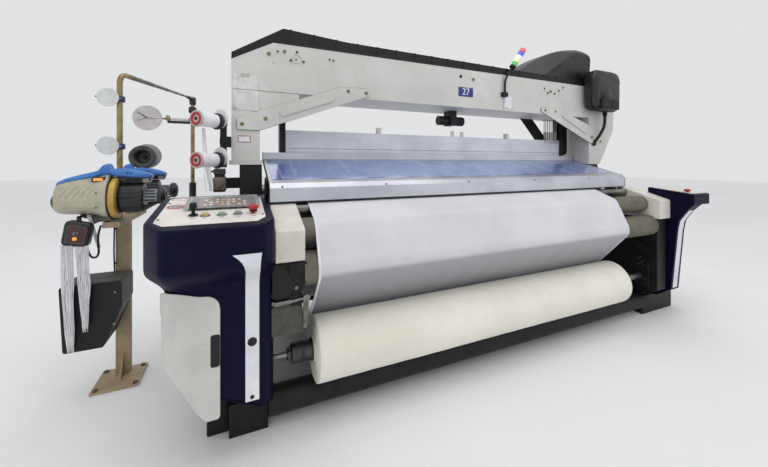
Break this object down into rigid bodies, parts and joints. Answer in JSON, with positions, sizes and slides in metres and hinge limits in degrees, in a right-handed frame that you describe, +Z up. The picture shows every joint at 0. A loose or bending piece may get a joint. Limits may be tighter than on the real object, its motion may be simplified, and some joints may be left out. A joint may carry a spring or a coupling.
{
  "type": "power loom",
  "caption": "Shuttleless power loom with overhead harness girder, heald frames, cloth take-up rollers and roll, side consoles and a weft feeder stand.",
  "frame": {"origin": "on the floor, at the middle of the machine's overall width and depth", "axes": "+X along the rollers to the viewer's right, +Y towards the warp side, +Z up"},
  "size_m": [4.37, 1.83, 2.3341],
  "materials": {
    "cast_iron_dark": "satin",
    "navy_shell": "gloss",
    "white_door": "satin",
    "cream_paint": "satin",
    "grey_sheet": "satin",
    "black_plastic": "matte",
    "roller_rubber": "matte",
    "steel": "satin",
    "aluminium": "satin",
    "cloth": "matte",
    "cloth_roll": "matte",
    "yarn": "matte",
    "panel_white": "gloss",
    "clear_flap": "gloss",
    "yellow": "gloss",
    "green": "gloss",
    "button_grey": "gloss",
    "red": "gloss",
    "beige_paint": "worn",
    "brass_tube": "satin",
    "feeder_housing": "satin",
    "feeder_ring": "gloss",
    "lamp_lens": "gloss"
  },
  "bodies": {
    "loom": {"breast_beam": "cast_iron_dark", "breast_cover": "aluminium", "cloth_sheet": "cloth", "console_left": "navy_shell", "console_panel": "panel_white", "console_right": "navy_shell", "cover_left": "cream_paint", "cover_right": "cream_paint", "drive_units": "cast_iron_dark", "feeder_front": "feeder_housing", "feeder_rear": "feeder_housing", "front_tie_tube": "cast_iron_dark", "gate_tube": "brass_tube", "girder": "grey_sheet", "girder_lid": "black_plastic", "gusset_left": "grey_sheet", "gusset_right": "grey_sheet", "harness_motor": "black_plastic", "heald_guides": "black_plastic", "hood": "black_plastic", "motor_conduit": "black_plastic", "panel_right": "panel_white", "post_brackets": "cast_iron_dark", "post_left": "grey_sheet", "post_right": "grey_sheet", "rear_tie_beam": "cast_iron_dark", "sensor_box": "black_plastic", "sensor_cable": "black_plastic", "side_frame_left": "cast_iron_dark", "side_frame_right": "cast_iron_dark", "signal_lamp": "lamp_lens", "stand_box": "black_plastic", "stand_post": "beige_paint", "warp_sheet": "yarn", "yarn_holders": "panel_white", "yarn_tails": "yarn"},
    "door": {"console_door": "white_door"},
    "flap": {"screen_flap": "clear_flap"},
    "toggle": {"joystick": "black_plastic"},
    "yellow_button": {"button_yellow": "yellow"},
    "green_button": {"button_green": "green"},
    "grey_button": {"button_grey": "button_grey"},
    "stop_button_left": {"estop_left": "red"},
    "stop_button_right": {"estop_right": "red"},
    "take_up": {"take_up_roller": "roller_rubber"},
    "press": {"press_roller": "roller_rubber"},
    "breast": {"breast_roller": "steel"},
    "cloth_beam": {"cloth_roll": "cloth_roll"},
    "warp": {"warp_beam": "yarn"},
    "rest_arms": {"back_rest_arms": "steel"},
    "rest_roller": {"back_rest_roller": "steel"},
    "sley_body": {"sley": "steel"},
    "heald_1": {"heald_frame_1": "aluminium"},
    "heald_2": {"heald_frame_2": "aluminium"},
    "heald_3": {"heald_frame_3": "aluminium"},
    "heald_4": {"heald_frame_4": "aluminium"},
    "bobbin_a": {"bobbin_upper": "red"},
    "bobbin_b": {"bobbin_lower": "red"},
    "ring_front": {"feeder_front_ring": "feeder_ring"},
    "ring_rear": {"feeder_rear_ring": "feeder_ring"}
  },
  "joints": [
    {"name": "cloth_beam_spin", "type": "hinge", "parent": "loom", "child": "cloth_beam", "pos_m": [0.2, -0.63, 0.33], "axis": [1, 0, 0], "continuous": true},
    {"name": "take_up_spin", "type": "hinge", "parent": "loom", "child": "take_up", "pos_m": [0.2, -0.68, 0.75], "axis": [1, 0, 0], "continuous": true},
    {"name": "press_spin", "type": "hinge", "parent": "loom", "child": "press", "pos_m": [0.2, -0.62, 0.915], "axis": [1, 0, 0], "continuous": true},
    {"name": "breast_spin", "type": "hinge", "parent": "loom", "child": "breast", "pos_m": [0.2, -0.49, 1], "axis": [1, 0, 0], "continuous": true},
    {"name": "warp_beam_spin", "type": "hinge", "parent": "loom", "child": "warp", "pos_m": [0.2, 0.43, 0.52], "axis": [1, 0, 0], "continuous": true},
    {"name": "rest_arm_swing", "type": "hinge", "parent": "loom", "child": "rest_arms", "pos_m": [0.3, 0.59, 0.93], "axis": [1, 0, 0], "range_deg": [-2.5, 2.5], "deforming": ["warp_sheet"]},
    {"name": "rest_roller_spin", "type": "hinge", "parent": "rest_arms", "child": "rest_roller", "pos_m": [0.2, 0.845, 1], "axis": [1, 0, 0], "continuous": true},
    {"name": "sley_rock", "type": "hinge", "parent": "loom", "child": "sley_body", "pos_m": [0.295, -0.04, 0.64], "axis": [1, 0, 0], "range_deg": [0, 11]},
    {"name": "heald_1_lift", "type": "slide", "parent": "loom", "child": "heald_1", "axis": [0, 0, 1], "range_m": [-0.07, 0]},
    {"name": "heald_2_lift", "type": "slide", "parent": "loom", "child": "heald_2", "axis": [0, 0, 1], "range_m": [0, 0.07]},
    {"name": "heald_3_lift", "type": "slide", "parent": "loom", "child": "heald_3", "axis": [0, 0, 1], "range_m": [-0.07, 0]},
    {"name": "heald_4_lift", "type": "slide", "parent": "loom", "child": "heald_4", "axis": [0, 0, 1], "range_m": [0, 0.07]},
    {"name": "door_hinge", "type": "hinge", "parent": "loom", "child": "door", "pos_m": [-1.584, -0.518, 0.47], "axis": [0, 0, 1], "range_deg": [-100, 0]},
    {"name": "flap_hinge", "type": "hinge", "parent": "loom", "child": "flap", "pos_m": [-1.363, -0.39088, 1.07587], "axis": [1, 0, 0], "range_deg": [-90, 0]},
    {"name": "toggle_tilt", "type": "hinge", "parent": "loom", "child": "toggle", "pos_m": [-1.472, -0.6909, 1.03343], "axis": [1, 0, 0], "range_deg": [-18, 18]},
    {"name": "yellow_press", "type": "slide", "parent": "loom", "child": "yellow_button", "axis": [0, -0.1374, 0.9905], "range_m": [-0.0035, 0], "stiffness_N_per_m": 500, "springref_m": 0.002},
    {"name": "green_press", "type": "slide", "parent": "loom", "child": "green_button", "axis": [0, -0.1374, 0.9905], "range_m": [-0.0035, 0], "stiffness_N_per_m": 500, "springref_m": 0.002},
    {"name": "grey_press", "type": "slide", "parent": "loom", "child": "grey_button", "axis": [0, -0.1374, 0.9905], "range_m": [-0.0035, 0], "stiffness_N_per_m": 500, "springref_m": 0.002},
    {"name": "stop_left_press", "type": "slide", "parent": "loom", "child": "stop_button_left", "axis": [0, -0.1374, 0.9905], "range_m": [-0.005, 0], "stiffness_N_per_m": 800, "springref_m": 0.002},
    {"name": "stop_right_press", "type": "slide", "parent": "loom", "child": "stop_button_right", "axis": [0, 0, 1], "range_m": [-0.004, 0], "stiffness_N_per_m": 800, "springref_m": 0.002},
    {"name": "bobbin_a_spin", "type": "hinge", "parent": "loom", "child": "bobbin_a", "pos_m": [-1.505, -0.33, 1.48], "axis": [0.682, 0.7314, 0], "continuous": true},
    {"name": "bobbin_b_spin", "type": "hinge", "parent": "loom", "child": "bobbin_b", "pos_m": [-1.505, -0.33, 1.265], "axis": [0.682, 0.7314, 0], "continuous": true},
    {"name": "ring_front_spin", "type": "hinge", "parent": "loom", "child": "ring_front", "pos_m": [-1.9, 0, 1.06], "axis": [1, 0, 0], "continuous": true},
    {"name": "ring_rear_spin", "type": "hinge", "parent": "loom", "child": "ring_rear", "pos_m": [-1.9, 0.4, 1.06], "axis": [1, 0, 0], "continuous": true}
  ],
  "couplings": [
    {"joint": "take_up_spin", "follows": "cloth_beam_spin", "ratio": -1.9375},
    {"joint": "press_spin", "follows": "cloth_beam_spin", "ratio": -2.3846},
    {"joint": "breast_spin", "follows": "cloth_beam_spin", "ratio": -4.4286},
    {"joint": "rest_roller_spin", "follows": "warp_beam_spin", "ratio": 5.5}
  ]
}
